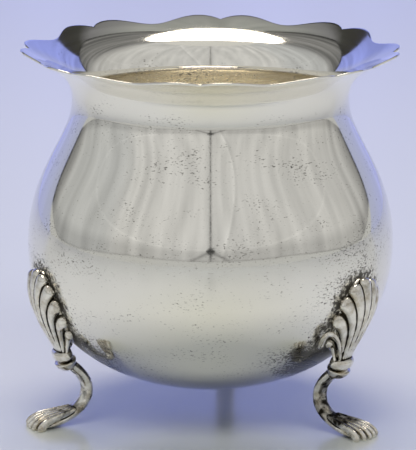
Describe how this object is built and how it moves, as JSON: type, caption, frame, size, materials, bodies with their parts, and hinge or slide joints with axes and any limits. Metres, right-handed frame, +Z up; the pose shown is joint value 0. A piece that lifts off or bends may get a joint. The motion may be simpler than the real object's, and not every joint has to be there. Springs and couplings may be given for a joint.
{
  "type": "waste bowl",
  "caption": "Round-bellied silver bowl with a drawn-in neck, a flared lobed rim and a gilt inside, standing on S-shaped legs with shell knees and paw feet.",
  "frame": {"origin": "on the bowl's axis, at the level of the table that the paws stand on", "axes": "+Z up along the bowl's axis; the three feet point 75, 195 and 315 degrees from +X, counted towards +Y"},
  "size_m": [0.1214, 0.1214, 0.1185],
  "materials": {
    "raised_silver": "polished silver sheet with fine tarnish specks, gilt on the inside below the rim",
    "cast_silver": "polished cast silver, dark with tarnish in its grooves"
  },
  "bodies": {
    "root": {"bowl": "raised_silver", "shell_knee_1": "cast_silver", "shell_knee_2": "cast_silver", "shell_knee_3": "cast_silver", "leg_1": "cast_silver", "leg_2": "cast_silver", "leg_3": "cast_silver"}
  },
  "joints": []
}
